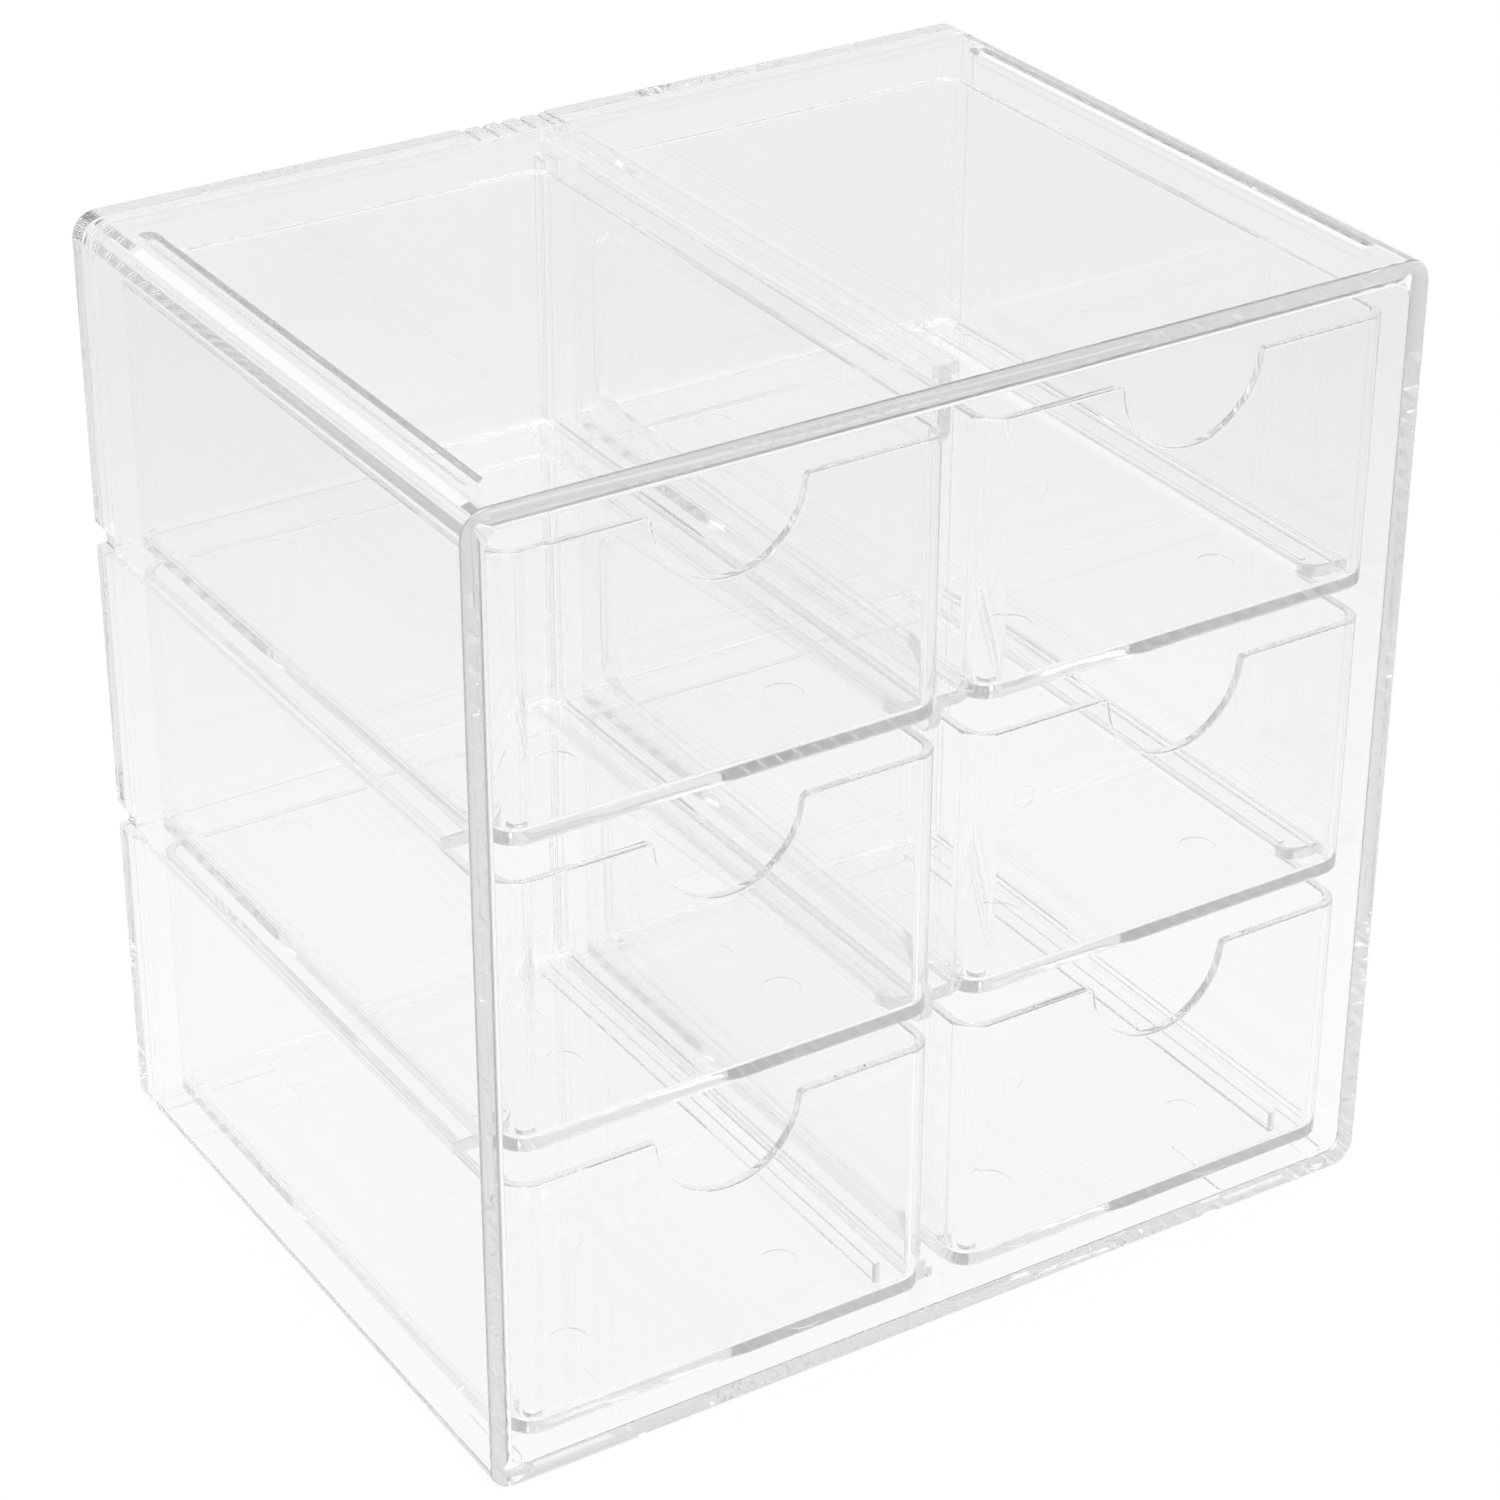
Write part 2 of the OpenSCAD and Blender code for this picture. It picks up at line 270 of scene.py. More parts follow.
def inset(points, distance):
    """The outline drawn in by a distance, each point moved along its mitre."""
    side = 1 if signed_area(points) > 0 else -1
    count = len(points)
    moved = []
    for i, p in enumerate(points):
        u = (p - points[i - 1]).normalized()
        v = (points[(i + 1) % count] - p).normalized()
        n_u = Vector((-u.y, u.x)) * side
        n_v = Vector((-v.y, v.x)) * side
        mitre = (n_u + n_v).normalized()
        moved.append(p + mitre * (distance / max(mitre.dot(n_u), MITRE_LEAST)))
    return moved


def quarter(r, steps=EDGE_STEPS):
    """Points (inset, height) from an end face round to the side face."""
    turns = [math.pi / 2 * k / steps for k in range(steps + 1)]
    return [(r - r * math.sin(t), r - r * math.cos(t)) for t in turns]


def outward_piece(name, mesh):
    """A new object from a closed mesh, whose faces it turns outward."""
    if mesh.calc_volume(signed=True) < 0:
        bmesh.ops.reverse_faces(mesh, faces=mesh.faces)
    data = bpy.data.meshes.new(name)
    mesh.to_mesh(data)
    mesh.free()
    piece = bpy.data.objects.new(name, data)
    bpy.context.scene.collection.objects.link(piece)
    return piece


def loft(name, rings, closed=False):
    """Mesh through rings of equally many points: capped at both ends, or closed into a loop."""
    mesh = bmesh.new()
    rows = [[mesh.verts.new(p) for p in ring] for ring in rings]
    pairs = list(zip(rows, rows[1:]))
    if closed:
        pairs.append((rows[-1], rows[0]))
    for a, b in pairs:
        for i in range(len(a)):
            j = (i + 1) % len(a)
            mesh.faces.new((a[i], a[j], b[j], b[i]))
    if not closed:
        mesh.faces.new(rows[0])
        mesh.faces.new(rows[-1])
    bmesh.ops.recalc_face_normals(mesh, faces=mesh.faces)
    return outward_piece(name, mesh)


AXES = {
    "x": lambda a, b, depth: (depth, a, b),
    "y": lambda a, b, depth: (a, depth, b),
    "z": lambda a, b, depth: (a, b, depth),
}


def slab(name, outline, start, finish, axis, edge=SOFT_EDGE, ends=(True, True)):
    """Outline given thickness along an axis, with its end edges rounded."""
    place = AXES[axis]
    rings = []
    first = quarter(edge) if ends[0] else [(0, 0)]
    last = quarter(edge) if ends[1] else [(0, 0)]
    for d, h in first:
        rings.append([place(*p, start + h) for p in inset(outline, d)])
    for d, h in reversed(last):
        rings.append([place(*p, finish - h) for p in inset(outline, d)])
    return loft(name, rings)


def combine(piece, tools, operation):
    """Joins tools to the piece, or cuts them from it, and removes them."""
    for tool in tools:
        step = piece.modifiers.new("combine", "BOOLEAN")
        step.operation = operation
        step.solver = "MANIFOLD"
        step.object = tool
    bpy.context.view_layer.update()
    graph = bpy.context.evaluated_depsgraph_get()
    result = bpy.data.meshes.new_from_object(piece.evaluated_get(graph))
    piece.modifiers.clear()
    old = piece.data
    piece.data = result
    bpy.data.meshes.remove(old)
    for tool in tools:
        bpy.data.objects.remove(tool)
    return piece


def flat_patches(mesh):
    """Gives each face the number of its flat patch, and each patch its area."""
    patch_of = {}
    areas = []
    for seed in mesh.faces:
        if seed.index in patch_of:
            continue
        patch_of[seed.index] = len(areas)
        area = 0
        todo = [seed]
        while todo:
            face = todo.pop()
            area += face.calc_area()
            for edge in face.edges:
                for other in edge.link_faces:
                    if other.index not in patch_of and other.normal.dot(seed.normal) > FLAT_DOT:
                        patch_of[other.index] = len(areas)
                        todo.append(other)
        areas.append(area)
    return patch_of, areas


def smooth_fan(loop):
    """The corners round a vertex that share one smooth normal with this corner."""
    fan = {loop.index: loop}
    todo = [loop]
    while todo:
        here = todo.pop()
        for edge in (here.edge, here.link_loop_prev.edge):
            if not edge.smooth:
                continue
            for face in edge.link_faces:
                for other in face.loops:
                    if other.vert == here.vert and other.index not in fan:
                        fan[other.index] = other
                        todo.append(other)
    return fan


def finish_mesh(piece):
    """Shades the mesh so that flat faces stay flat and roundings run smoothly into them."""
    data = piece.data
    data.shade_smooth()
    data.set_sharp_from_angle(angle=SHARP_TURN)
    mesh = bmesh.new()
    mesh.from_mesh(data)
    mesh.faces.ensure_lookup_table()
    mesh.faces.index_update()
    patch_of, areas = flat_patches(mesh)
    normals = [None] * len(data.loops)
    count = 0
    for face in mesh.faces:
        for loop in face.loops:
            loop.index = count
            count += 1
    for face in mesh.faces:
        for loop in face.loops:
            if normals[loop.index] is not None:
                continue
            fan = smooth_fan(loop)
            total = Vector()
            seen = set()
            for other in fan.values():
                patch = patch_of[other.face.index]
                if patch not in seen:
                    seen.add(patch)
                    total += other.face.normal * (areas[patch] / SQUARE_MM) ** 2
            total.normalize()
            for index in fan:
                normals[index] = total
    mesh.free()
    data.normals_split_custom_set(normals)


def mirrored(name, piece):
    """A copy of the piece on the other side of the middle plane."""
    mesh = bmesh.new()
    mesh.from_mesh(piece.data)
    for vert in mesh.verts:
        vert.co.x = -vert.co.x
    mesh.normal_update()
    return outward_piece(name, mesh)


def circle(a, b, r):
    turns = [math.tau * k / CIRCLE_STEPS for k in range(CIRCLE_STEPS)]
    return [Vector((a + r * math.cos(t), b + r * math.sin(t))) for t in turns]


def slot_outline(x, w, y0, y1):
    """Slot with round ends, from y0 to y1."""
    r = w / 2
    turns = [math.pi * k / SLOT_STEPS for k in range(SLOT_STEPS + 1)]
    rear = [Vector((x + r * math.cos(t), y1 - r + r * math.sin(t))) for t in turns]
    front = [Vector((x - r * math.cos(t), y0 + r - r * math.sin(t))) for t in turns]
    return rear + front


def outline_ring(y, d, r):
    """Ring round the cabinet's section at y, drawn in by d, with corners of radius r."""
    points = rectangle(-half_w + d, d, half_w - d, height - d, r, LONG_STEPS)
    return [Vector((p.x, y, p.y)) for p in points]


def install(piece, node, body):
    """Shades the finished piece and puts it in the place of its CAD node."""
    finish_mesh(piece)
    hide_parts(node)
    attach(piece, body)
    return piece


# Drawers


def notch_stations(front):
    """The notch's left shoulder, its arc and its right shoulder, each point with its drop and slope."""
    reach = NOTCH_R + NOTCH_CORNER_R
    shoulder_x = math.sqrt(reach ** 2 - NOTCH_CORNER_R ** 2)
    lean = math.asin(NOTCH_CORNER_R / reach)
    shoulder = [math.pi / 2 - (math.pi / 2 + lean) * k / SHOULDER_STEPS for k in range(SHOULDER_STEPS + 1)]
    for t in shoulder:
        x = -shoulder_x + NOTCH_CORNER_R * math.cos(t)
        front(x, NOTCH_CORNER_R * (1 - math.sin(t)), (-math.cos(t), -math.sin(t)))
    for k in range(1, NOTCH_STEPS):
        t = math.pi + lean + (math.pi - 2 * lean) * k / NOTCH_STEPS
        front(NOTCH_R * math.cos(t), -NOTCH_R * math.sin(t), (math.cos(t), math.sin(t)))
    for t in reversed(shoulder):
        x = shoulder_x - NOTCH_CORNER_R * math.cos(t)
        front(x, NOTCH_CORNER_R * (1 - math.sin(t)), (math.cos(t), -math.sin(t)))


def drawer_stations(width, depth):
    """Round the rim: a function of the inset for each station's plan point, its drop and its slope."""
    stations = []
    centre_x = width / 2 - DRAWER_R
    centre_y = depth / 2 - DRAWER_R

    def front(x, drop, normal):
        stations.append((lambda d, x=x: (x, -depth / 2 + d), drop, normal))

    def corner(sx, sy, start):
        for k in range(CORNER_STEPS + 1):
            t = start + math.pi / 2 * k / CORNER_STEPS
            stations.append((
                lambda d, t=t: (
                    sx * centre_x + (DRAWER_R - d) * math.cos(t),
                    sy * centre_y + (DRAWER_R - d) * math.sin(t),
                ),
                0,
                (0, -1),
            ))

    notch_stations(front)
    corner(1, -1, -math.pi / 2)
    corner(1, 1, 0)
    corner(-1, 1, math.pi / 2)
    corner(-1, -1, math.pi)
    return stations


def ejector_marks(size):
    """Shallow round dents in the drawer's floor and in the back of its front wall."""
    marks = []
    side = size.x / 2 - PIN_FROM_SIDE
    end = size.y / 2 - PIN_FROM_END
    for x in (-side, side):
        for y in (-end, end):
            marks.append(slab("pin", circle(x, y, PIN_R), DRAWER_WALL - PIN_DEPTH, DRAWER_WALL + PAST,
                              "z", DENT_EDGE, (True, False)))
    spot = circle(-size.x / 2 + FRONT_PIN_IN, size.z - FRONT_PIN_DOWN, FRONT_PIN_R)
    wall_y = -size.y / 2 + DRAWER_WALL
    marks.append(slab("pin", spot, wall_y - PIN_DEPTH, wall_y + PAST, "y", DENT_EDGE, (True, False)))
    return marks


def make_lump(size):
    """The low round lump on the floor near the front left corner."""
    spot = circle(-size.x / 2 + LUMP_FROM_SIDE, -size.y / 2 + LUMP_FROM_FRONT, LUMP_R)
    return slab("lump", spot, DRAWER_WALL / 2, DRAWER_WALL + LUMP_H, "z", LUMP_EDGE, (False, True))


def drawer_body(name, size):
    """The drawer's walls and floor in one mesh, from under the floor, over the rim and down inside."""
    stations = drawer_stations(size.x, size.y)

    def level(d, z):
        return [Vector((*plan(d), z)) for plan, _, _ in stations]

    def rim(d, lower):
        ring = []
        for plan, drop, (nx, nz) in stations:
            x, y = plan(d)
            ring.append(Vector((x + nx * lower, y, size.z - drop + nz * lower)))
        return ring

    under_notch = size.z - NOTCH_R - NOTCH_MARGIN
    rings = [level(d, h) for d, h in quarter(FOOT_EDGE)]
    rings.append(level(0, under_notch))
    edge = quarter(RIM_EDGE)
    rings += [rim(d, h) for d, h in reversed(edge)]
    rings += [rim(DRAWER_WALL - d, h) for d, h in edge]
    rings.append(level(DRAWER_WALL, under_notch))
    rings += [level(DRAWER_WALL + d, DRAWER_WALL + h) for d, h in reversed(quarter(FLOOR_EDGE))]
    return loft(name, rings)


def make_drawer(column, row):
    name = f"drawer_{row}_{column}"
    low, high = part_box(name)
    size = high - low
    middle = (low + high) / 2
    drawer = drawer_body(name + "_moulding", size)
    combine(drawer, [make_lump(size)], "UNION")
    combine(drawer, ejector_marks(size), "DIFFERENCE")
    drawer.data.transform(Matrix.Translation((middle.x, middle.y, low.z)))
    return install(drawer, name, name)


# Sleeve


def sleeve_body():
    """The sleeve's walls: mouth, outer faces, seam, tongue, bore and the lip inside the mouth."""
    rings = [outline_ring(mouth_y + h, d, LONG_EDGE_R - d) for d, h in quarter(RIM_R, RIM_STEPS)]
    groove = (seam_y - SEAM, 0), (seam_y - SEAM, SEAM), (seam_y, SEAM), (seam_y, TONGUE_INSET)
    rings += [outline_ring(y, d, LONG_EDGE_R - d) for y, d in groove]
    edge = quarter(SOFT_EDGE)
    rings += [outline_ring(tongue_y - h, TONGUE_INSET + d, LONG_EDGE_R - TONGUE_INSET - d)
              for d, h in reversed(edge)]
    rings += [outline_ring(tongue_y - h, WALL - d, BORE_R + d) for d, h in edge]
    rings.append(outline_ring(mouth_y + LIP_D, WALL, BORE_R))
    rings += [outline_ring(mouth_y + h, WALL + LIP_T - d, LIP_R + d) for d, h in reversed(edge)]
    return loft("sleeve_moulding", rings, closed=True)


def side_ledge(row):
    """A ledge on the right wall, and the bead on it that the drawer slides on."""
    top = row_z(row) - BEAD_H
    free = bore_half - SIDE_LEDGE_W
    rear = tongue_y - FIT_GAP
    plan = rounded([(free, ledge_y, LEDGE_R), (bore_half + PAST, ledge_y, 0),
                    (bore_half + PAST, rear, 0), (free, rear, 0)])
    bead = slot_outline(glide_far, BEAD_T, ledge_y + BEAD_SETBACK, rear)
    return [
        slab("ledge", plan, top - LEDGE_T, top, "z", LEDGE_EDGE),
        slab("bead", bead, top - PAST, top + BEAD_H, "z", BEAD_EDGE),
    ]


def floor_glide(x):
    outline = slot_outline(x, BEAD_T, ledge_y, panel_y - SOCKET_D)
    return slab("glide", outline, WALL / 2, row_z(0), "z", GLIDE_EDGE)


def upright_rib(name, front, rear, low, high):
    """A flat rib just to the right of the comb."""
    outline = [Vector(p) for p in ((front, low), (rear, low), (rear, high), (front, high))]
    return slab(name, outline, guide_x, guide_x + GUIDE_T, "x", GUIDE_EDGE)


def comb_guide(low, high):
    """A rib on the floor or the ceiling that keeps the comb upright."""
    return upright_rib("guide", comb_low.y, rail_back_y, low, high)


def channel_shape(side):
    """What is taken away for a channel in the top: its sides run out softly."""
    rings = []
    for k in range(CHANNEL_STEPS + 1):
        t = k / CHANNEL_STEPS
        rise = t * t * (3 - 2 * t)
        level = height - CHANNEL_DEPTH * (1 - rise)
        outer = half_w - CHANNEL_INSET - OUTER_SLOPE * (1 - t)
        inner = half_w - CHANNEL_INSET - OUTER_SLOPE - CHANNEL_FLAT - INNER_SLOPE * t
        front = mouth_y + CHANNEL_SETBACK + END_SLOPE * (1 - t)
        rear = seam_y - CHANNEL_REAR - END_SLOPE * (1 - t)
        outline = slot_outline(side * (outer + inner) / 2, outer - inner, front, rear)
        rings.append([Vector((*p, level)) for p in outline])
    rings.append([Vector((*p, height + PAST)) for p in outline])
    return loft("channel", rings)


def foot_pocket(side):
    outline = slot_outline(side * (half_w - POCKET_INSET), POCKET_W, mouth_y + POCKET_SETBACK,
                           mouth_y + FOOT_D + POCKET_W)
    return slab("pocket", outline, -PAST, FOOT_H, "z")


def foot_cut(x, y0, y1):
    """Cut in the underside that leaves the corner feet standing."""
    return slab("underside", rectangle(-x, y0, x, y1, FOOT_R), -PAST, FOOT_H, "z", CUT_EDGE)


def gate_mark(x, w):
    outline = rectangle(x - w / 2, -PAST, x + w / 2, GATE_H, GATE_R, RIM_STEPS)
    return slab("gate", outline, mouth_y - PAST, mouth_y + GATE_DEPTH, "y", CUT_EDGE, (False, True))


def make_sleeve():
    sleeve = sleeve_body()
    added = []
    for row in LEDGE_ROWS:
        added += side_ledge(row)
    added += [floor_glide(x) for x in (glide_near, glide_far)]
    added.append(comb_guide(WALL / 2, WALL + GUIDE_H))
    added.append(comb_guide(ceiling_z - GUIDE_H, height - WALL / 2))
    added += [mirrored("mirrored", tool) for tool in list(added)]
    combine(sleeve, added, "UNION")
    cuts = []
    for side in SIDES:
        cuts += [channel_shape(side), foot_pocket(side)]
    cuts.append(foot_cut(half_w - FOOT_W, mouth_y - PAST, rear_y + PAST))
    cuts.append(foot_cut(half_w + PAST, mouth_y + FOOT_D, rear_y - FOOT_D))
    cuts += [gate_mark(x, w) for x, w in GATES]
    combine(sleeve, cuts, "DIFFERENCE")
    return install(sleeve, "cabinet_shell", "cabinet")


# Rear panel


def panel_body():
    """The plate with the frame inside it, the rim over the tongue, the seam and the rear edge."""
    rim_y = seam_y + CONTACT
    rings = [outline_ring(y, WALL, BORE_R) for y in (panel_y, frame_y)]
    rings += [outline_ring(y, PANEL_RIM_T, LONG_EDGE_R - PANEL_RIM_T) for y in (frame_y, rim_y)]
    groove = (rim_y, SEAM), (seam_y + SEAM, SEAM), (seam_y + SEAM, 0)
    rings += [outline_ring(y, d, LONG_EDGE_R - d) for y, d in groove]
    edge = quarter(REAR_R, REAR_STEPS)
    rings += [outline_ring(rear_y - h, d, LONG_EDGE_R - d) for d, h in reversed(edge)]
    return loft("rear_moulding", rings)


def socket_rib():
    """One of the two ribs between which the comb's rear edge sits."""
    return upright_rib("rib", panel_y - SOCKET_D, panel_y + PAST, row_z(0), ceiling_z - SOCKET_DROP)


def rim_cut(x0, z0, x1, z1):
    """A window cut through the rim from the seam to the rear."""
    outline = rectangle(x0, z0, x1, z1, SOFT_EDGE, WINDOW_STEPS)
    return slab("window", outline, seam_y - PAST, rear_y + PAST, "y", CUT_EDGE)


def side_window(side, row):
    x0, x1 = sorted((side * (half_w - WINDOW_D), side * (half_w + PAST)))
    return rim_cut(x0, row_z(row) - WINDOW_H / 2, x1, row_z(row) + WINDOW_H / 2)


def catch_grooves():
    """Grooves across the catch in the top rim."""
    pitch = (CATCH_TO - CATCH_FROM) / CATCH_GROOVES
    grooves = []
    for k in range(CATCH_GROOVES):
        outline = slot_outline(CATCH_FROM + pitch * (k + 0.5), GROOVE_W, seam_y + SEAM + PAST, rear_y + PAST)
        grooves.append(slab("groove", outline, height - CATCH_DROP * 2, height + PAST, "z", BEAD_EDGE,
                            (True, False)))
    return grooves


def make_panel():
    panel = panel_body()
    rib = socket_rib()
    combine(panel, [rib, mirrored("rib", rib)], "UNION")
    cuts = [side_window(side, row) for side in SIDES for row in LEDGE_ROWS]
    cuts.append(rim_cut(-COMB_WINDOW_W / 2, -PAST, COMB_WINDOW_W / 2, PANEL_RIM_T + FIT_GAP))
    cuts.append(rim_cut(CATCH_FROM, height - CATCH_DROP, CATCH_TO, height + PAST))
    cuts += catch_grooves()
    cuts.append(foot_cut(half_w - FOOT_W, mouth_y - PAST, rear_y + PAST))
    combine(panel, cuts, "DIFFERENCE")
    return install(panel, "back_panel", "cabinet")


# Centre comb


def comb_plate():
    """The comb's plate: rear strip, floor rib, a tapering rib above and below each window."""
    front = comb_low.y
    rear = panel_y - CONTACT
    bottom = comb_low.z + CONTACT
    crown = comb_high.z - CONTACT
    nose = front + BEAD_T
    strip = panel_y - STRIP_D
    corners = [(rear, bottom, 0), (front, bottom, 0)]
    for row in range(len(ROWS)):
        base = row_z(row)
        is_top = row == TOP_ROW
        under = ceiling_z if is_top else row_z(row + 1) - BEAD_H - LEDGE_T
        lintel = ceiling_z - CROWN_RIB if is_top else under - RIB_DROP
        lintel_rear = lintel if is_top else lintel - DROP_TAPER
        corners += [
            (front, base, 0),
            (nose, base, 0),
            (nose, base + RIB_RISE, NOSE_R),
            (strip, base + RIB_RISE + RISE_TAPER, COMB_WINDOW_R),
            (strip, lintel_rear, COMB_WINDOW_R),
            (front, lintel, CHIN_R),
        ]
    corners += [(front, crown, 0), (rear, crown, 0)]
    return slab("comb_moulding", rounded(corners), -COMB_T / 2, COMB_T / 2, "x", LEDGE_EDGE)


def comb_rail(row):
    """The rail across the comb that carries a row of drawers on both sides, with its beads."""
    front = comb_low.y
    half = comb_high.x
    top = row_z(row) - BEAD_H
    plan = rounded([(-half, front, LEDGE_R), (half, front, LEDGE_R),
                    (half, rail_back_y, 0), (-half, rail_back_y, 0)])
    pieces = [slab("rail", plan, top - LEDGE_T, top, "z", LEDGE_EDGE)]
    for side in SIDES:
        bead = slot_outline(side * glide_near, BEAD_T, front + BEAD_SETBACK, rail_back_y - FIT_GAP)
        pieces.append(slab("bead", bead, top - PAST, top + BEAD_H, "z", BEAD_EDGE))
    return pieces


def make_comb():
    comb = comb_plate()
    added = []
    for row in LEDGE_ROWS:
        added += comb_rail(row)
    combine(comb, added, "UNION")
    return install(comb, "centre_divider", "cabinet")


# Materials

IOR = 1.53
# What a lamp's light keeps at each face, and how much grey the clouding adds
SHADOW_TINT = 0.985
HAZE = 0.006
# Sizes of the clouding and the flow waves, as noise scales, and the waves' height
CLOUD_SCALE = 26
FLOW_SCALE = 60
FLOW_HEIGHT = 0.0006
# Colour that the absorption leaves over a long path
BODY_GREY = 0.5
# Tint at each face, density of the absorption in the plastic, and strength of the waves
SHELL_CLEAR = 0.993, 3.2, 0.035
PANEL_CLEAR = 0.993, 2.0, 0.02
DRAWER_CLEAR = 0.991, 2.7, 0.035
COMB_CLEAR = 0.991, 3.6, 0.035


def grey(level):
    return (level, level, level, 1)


def object_noise(nodes, links, scale):
    """Smooth noise over the piece."""
    place = nodes.new("ShaderNodeTexCoord")
    noise = nodes.new("ShaderNodeTexNoise")
    noise.inputs["Scale"].default_value = scale
    noise.inputs["Detail"].default_value = 0
    links.new(place.outputs["Object"], noise.inputs["Vector"])
    return noise.outputs["Fac"]


def clouding(nodes, links, gloss, tint):
    """Faint clouds in the plastic's colour."""
    colour = nodes.new("ShaderNodeValToRGB")
    colour.color_ramp.elements[0].color = grey(tint - HAZE)
    colour.color_ramp.elements[1].color = grey(tint)
    links.new(object_noise(nodes, links, CLOUD_SCALE), colour.inputs["Fac"])
    links.new(colour.outputs["Color"], gloss.inputs["Base Color"])


def flow_waves(nodes, links, gloss, strength):
    """Faint waves that the flow of the melt leaves in the surface."""
    bump = nodes.new("ShaderNodeBump")
    bump.inputs["Strength"].default_value = strength
    bump.inputs["Distance"].default_value = FLOW_HEIGHT
    links.new(object_noise(nodes, links, FLOW_SCALE), bump.inputs["Height"])
    links.new(bump.outputs["Normal"], gloss.inputs["Normal"])


def clear_plastic(name, tint, density, waves):
    """Clear moulded plastic that dims light over long paths and lets lamps shine through."""
    material = bpy.data.materials.new(name)
    material.use_nodes = True
    tree = material.node_tree
    nodes, links = tree.nodes, tree.links
    nodes.clear()
    out = nodes.new("ShaderNodeOutputMaterial")
    mix = nodes.new("ShaderNodeMixShader")
    path = nodes.new("ShaderNodeLightPath")
    gloss = nodes.new("ShaderNodeBsdfPrincipled")
    gloss.inputs["Transmission Weight"].default_value = 1
    gloss.inputs["IOR"].default_value = IOR
    gloss.inputs["Roughness"].default_value = 0
    through = nodes.new("ShaderNodeBsdfTransparent")
    through.inputs["Color"].default_value = grey(SHADOW_TINT)
    links.new(path.outputs["Is Shadow Ray"], mix.inputs[0])
    links.new(gloss.outputs[0], mix.inputs[1])
    links.new(through.outputs[0], mix.inputs[2])
    links.new(mix.outputs[0], out.inputs["Surface"])
    body = nodes.new("ShaderNodeVolumeAbsorption")
    body.inputs["Color"].default_value = grey(BODY_GREY)
    body.inputs["Density"].default_value = density
    links.new(body.outputs[0], out.inputs["Volume"])
    clouding(nodes, links, gloss, tint)
    flow_waves(nodes, links, gloss, waves)
    return material


def dress(piece, material):
    piece.data.materials.clear()
    piece.data.materials.append(material)


# Stage

FLOOR_SIZE = 6.0
PAPER_GREY = 0.95
# Painted pool of light on the paper: brightest under the object and a little dimmer from this far out
POOL_NEAR = 0.1
POOL_FAR = 0.38
POOL_DIM = 0.82
# How much of the floor that a ray sees is emitted: plain white where seen directly, the painted pool of
# light where mirrored or seen through the plastic
WHITE_SHARE = 0.95
# The room is white up to this share of the height, and dims towards the zenith
ROOM_FULL = 0.5
ROOM_TOP = 0.7

KEY_PLACE = (-0.7, -0.5, 2.0)
KEY_TARGET = (0, 0, 0.08)
KEY_SIZE = (1.6, 1.6)
KEY_POWER = 30

# Solved from the box's corners in the photograph
CAMERA_PLACE = (-0.3308, -0.5225, 0.4261)
CAMERA_AZIMUTH = math.radians(-31.83)
CAMERA_ELEVATION = math.radians(29.15)
CAMERA_ROLL = math.radians(-0.09)
CAMERA_LENS = 100.4
CAMERA_SENSOR = 36
CAMERA_CLIP = (0.01, 100)
CAMERA_SHIFT = (0.028, -0.0113)

# Light is caught between the walls for long, so its paths are long too
PATH_BOUNCES = 256
TRANSPARENT_BOUNCES = 64
DIFFUSE_BOUNCES = 1


def painted_pool_of_light(nodes, links):
    """Painted pool of light: the paper glows white under the object and dims a little with the distance from
    it.
    """
    pool = nodes.new("ShaderNodeEmission")
    place = nodes.new("ShaderNodeTexCoord")
    away = nodes.new("ShaderNodeVectorMath")
    away.operation = "LENGTH"
    ramp = nodes.new("ShaderNodeValToRGB")
    near, far = ramp.color_ramp.elements
    near.position = POOL_NEAR
    near.color = grey(1)
    far.position = POOL_FAR
    far.color = grey(POOL_DIM)
    links.new(place.outputs["Object"], away.inputs[0])
    links.new(away.outputs["Value"], ramp.inputs["Fac"])
    links.new(ramp.outputs["Color"], pool.inputs["Color"])
    return pool


def white_share(nodes, links, path):
    """How white the floor is for a ray: mostly where it is seen, mirrored or seen through the plastic."""
    indirect = nodes.new("ShaderNodeMath")
    indirect.operation = "MAXIMUM"
    seen = nodes.new("ShaderNodeMath")
    seen.operation = "MAXIMUM"
    share = nodes.new("ShaderNodeMath")
    share.operation = "MULTIPLY"
    share.inputs[1].default_value = WHITE_SHARE
    links.new(path.outputs["Is Glossy Ray"], indirect.inputs[0])
    links.new(path.outputs["Is Transmission Ray"], indirect.inputs[1])
    links.new(path.outputs["Is Camera Ray"], seen.inputs[0])
    links.new(indirect.outputs[0], seen.inputs[1])
    links.new(seen.outputs[0], share.inputs[0])
    return share.outputs[0]


def floor_paper():
    """White paper: plain for shadows, with a white share for what is seen of it."""
    material = bpy.data.materials.new("floor_white")
    material.use_nodes = True
    nodes, links = material.node_tree.nodes, material.node_tree.links
    nodes.clear()
    out = nodes.new("ShaderNodeOutputMaterial")
    surface = nodes.new("ShaderNodeMixShader")
    plain = nodes.new("ShaderNodeBsdfDiffuse")
    plain.inputs["Color"].default_value = grey(PAPER_GREY)
    backdrop = nodes.new("ShaderNodeMixShader")
    white = nodes.new("ShaderNodeEmission")
    path = nodes.new("ShaderNodeLightPath")
    links.new(path.outputs["Is Camera Ray"], backdrop.inputs[0])
    # Mirrored or seen through the plastic, the floor shows the painted pool of light
    links.new(painted_pool_of_light(nodes, links).outputs[0], backdrop.inputs[1])
    links.new(white.outputs[0], backdrop.inputs[2])
    links.new(white_share(nodes, links, path), surface.inputs[0])
    links.new(plain.outputs[0], surface.inputs[1])
    links.new(backdrop.outputs[0], surface.inputs[2])
    links.new(surface.outputs[0], out.inputs["Surface"])
    return material


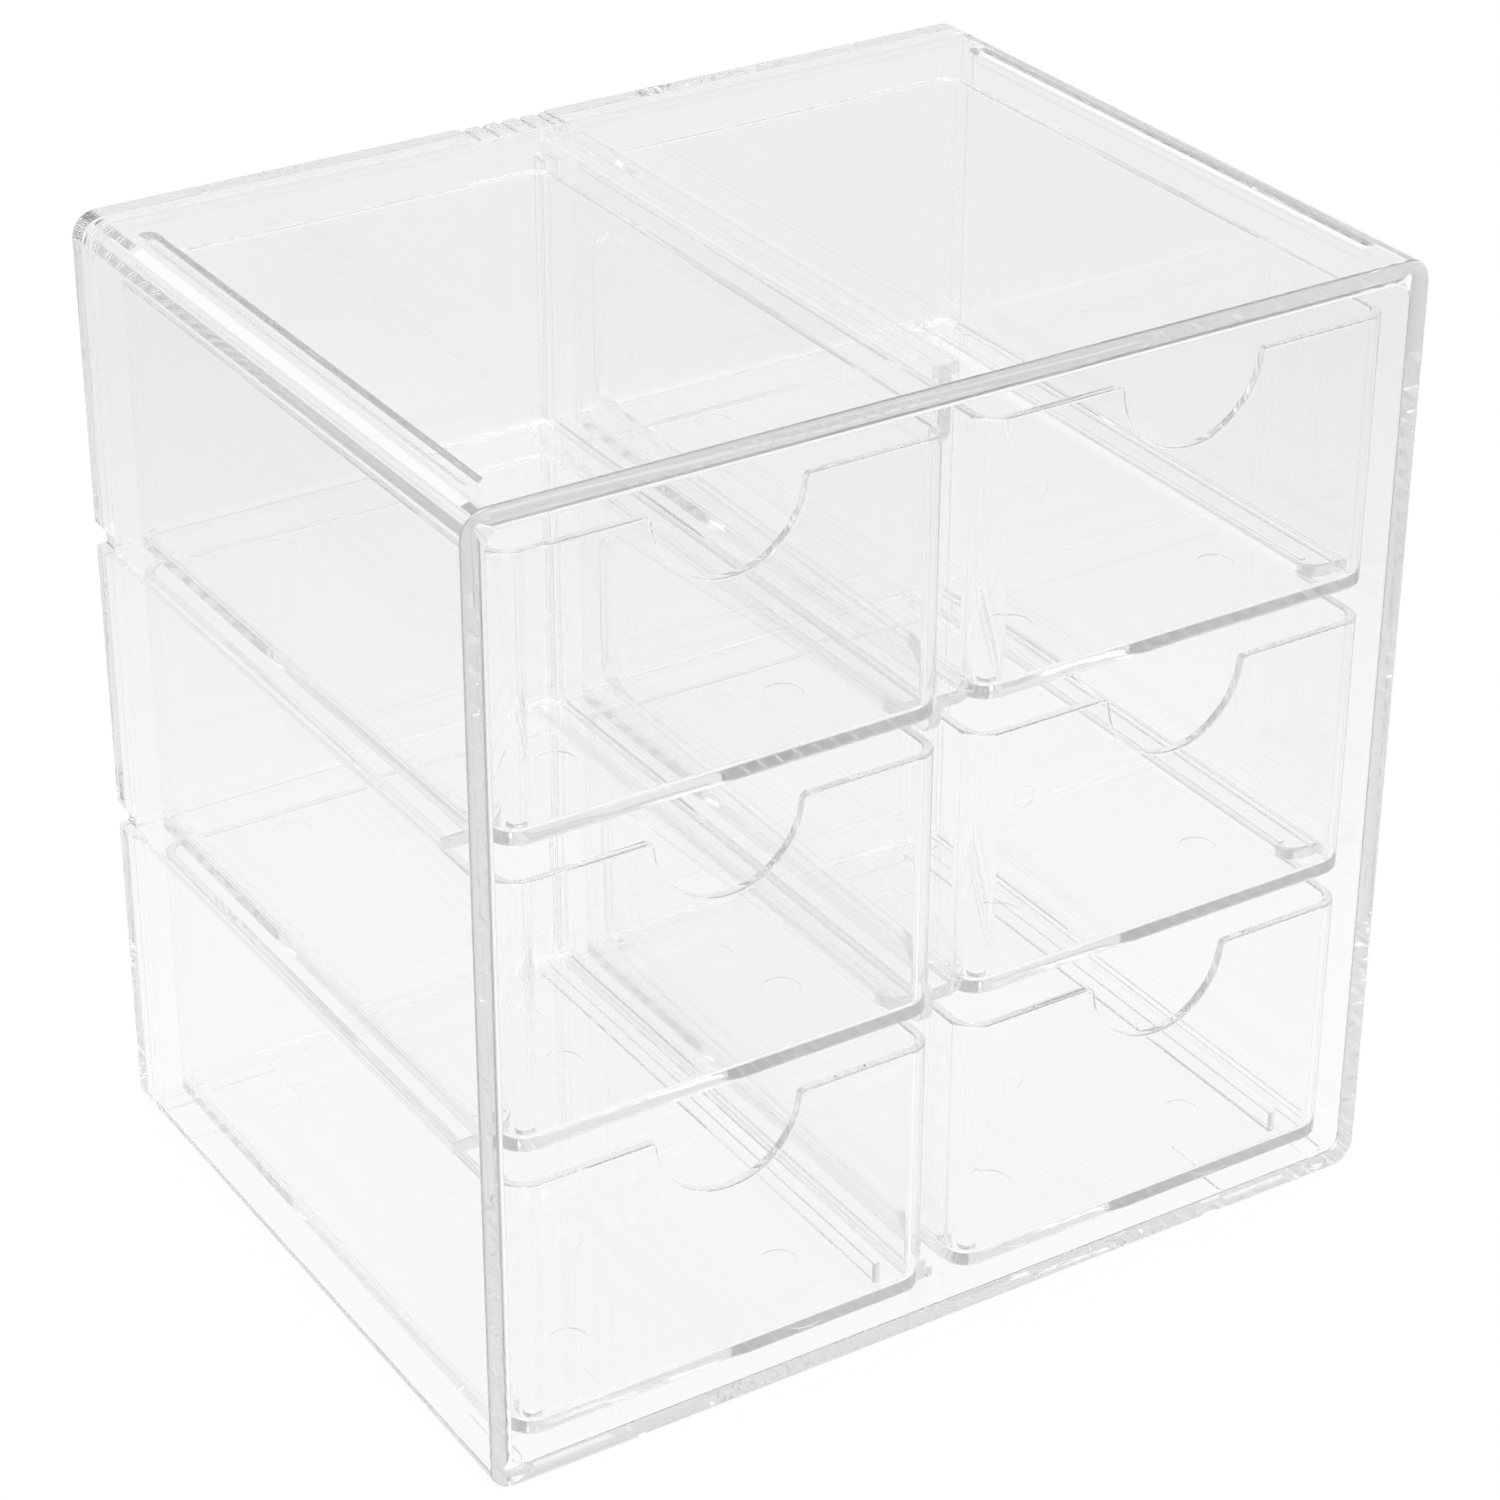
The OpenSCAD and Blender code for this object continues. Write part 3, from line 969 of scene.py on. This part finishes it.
def make_floor():
    mesh = bpy.data.meshes.new("floor")
    corners = [(x * FLOOR_SIZE, y * FLOOR_SIZE, -CONTACT) for x, y in ((-1, -1), (1, -1), (1, 1), (-1, 1))]
    mesh.from_pydata(corners, [], [(0, 1, 2, 3)])
    mesh.materials.append(floor_paper())
    floor = bpy.data.objects.new("floor", mesh)
    bpy.context.scene.collection.objects.link(floor)


def room_light(nodes, links):
    """The room's light: white round the object and a little dimmer overhead."""
    room = nodes.new("ShaderNodeBackground")
    place = nodes.new("ShaderNodeTexCoord")
    split = nodes.new("ShaderNodeSeparateXYZ")
    ramp = nodes.new("ShaderNodeValToRGB")
    low, high = ramp.color_ramp.elements
    low.position = 0
    low.color = grey(1)
    high.position = 1
    high.color = grey(ROOM_TOP)
    middle = ramp.color_ramp.elements.new(ROOM_FULL)
    middle.color = grey(1)
    links.new(place.outputs["Generated"], split.inputs[0])
    links.new(split.outputs["Z"], ramp.inputs["Fac"])
    links.new(ramp.outputs["Color"], room.inputs["Color"])
    return room


def make_world():
    world = bpy.data.worlds.new("studio")
    bpy.context.scene.world = world
    world.use_nodes = True
    nodes, links = world.node_tree.nodes, world.node_tree.links
    nodes.clear()
    out = nodes.new("ShaderNodeOutputWorld")
    mix = nodes.new("ShaderNodeMixShader")
    path = nodes.new("ShaderNodeLightPath")
    white = nodes.new("ShaderNodeBackground")
    links.new(path.outputs["Is Camera Ray"], mix.inputs[0])
    links.new(room_light(nodes, links).outputs[0], mix.inputs[1])
    links.new(white.outputs[0], mix.inputs[2])
    links.new(mix.outputs[0], out.inputs["Surface"])


def make_key_lamp():
    data = bpy.data.lights.new("key", "AREA")
    data.shape = "RECTANGLE"
    data.size, data.size_y = KEY_SIZE
    data.energy = KEY_POWER
    lamp = bpy.data.objects.new("key", data)
    bpy.context.scene.collection.objects.link(lamp)
    lamp.location = KEY_PLACE
    lamp.rotation_euler = (Vector(KEY_TARGET) - Vector(KEY_PLACE)).to_track_quat("-Z", "Y").to_euler()


def make_camera():
    data = bpy.data.cameras.new("camera")
    camera = bpy.data.objects.new("camera", data)
    bpy.context.scene.collection.objects.link(camera)
    data.sensor_width = CAMERA_SENSOR
    data.lens = CAMERA_LENS
    data.shift_x, data.shift_y = CAMERA_SHIFT
    data.clip_start, data.clip_end = CAMERA_CLIP
    turn = (Matrix.Rotation(CAMERA_AZIMUTH, 4, "Z")
            @ Matrix.Rotation(math.pi / 2 - CAMERA_ELEVATION, 4, "X")
            @ Matrix.Rotation(CAMERA_ROLL, 4, "Z"))
    camera.matrix_world = Matrix.Translation(CAMERA_PLACE) @ turn
    bpy.context.scene.camera = camera


def set_view():
    scene = bpy.context.scene
    scene.view_settings.view_transform = "Standard"
    scene.cycles.max_bounces = PATH_BOUNCES
    scene.cycles.transmission_bounces = PATH_BOUNCES
    scene.cycles.glossy_bounces = PATH_BOUNCES
    scene.cycles.diffuse_bounces = DIFFUSE_BOUNCES
    scene.cycles.caustics_reflective = False
    scene.cycles.caustics_refractive = False
    scene.cycles.transparent_max_bounces = TRANSPARENT_BOUNCES


make_camera()
set_view()
make_world()
make_floor()
make_key_lamp()

shell_clear = clear_plastic("clear_shell_plastic", *SHELL_CLEAR)
panel_clear = clear_plastic("clear_panel_plastic", *PANEL_CLEAR)
drawer_clear = clear_plastic("clear_drawer_plastic", *DRAWER_CLEAR)
comb_clear = clear_plastic("clear_comb_plastic", *COMB_CLEAR)

dress(make_sleeve(), shell_clear)
dress(make_panel(), panel_clear)
dress(make_comb(), comb_clear)
for row_name in ROWS:
    for column_name in COLUMNS:
        dress(make_drawer(column_name, row_name), drawer_clear)

bpy.context.view_layer.update()
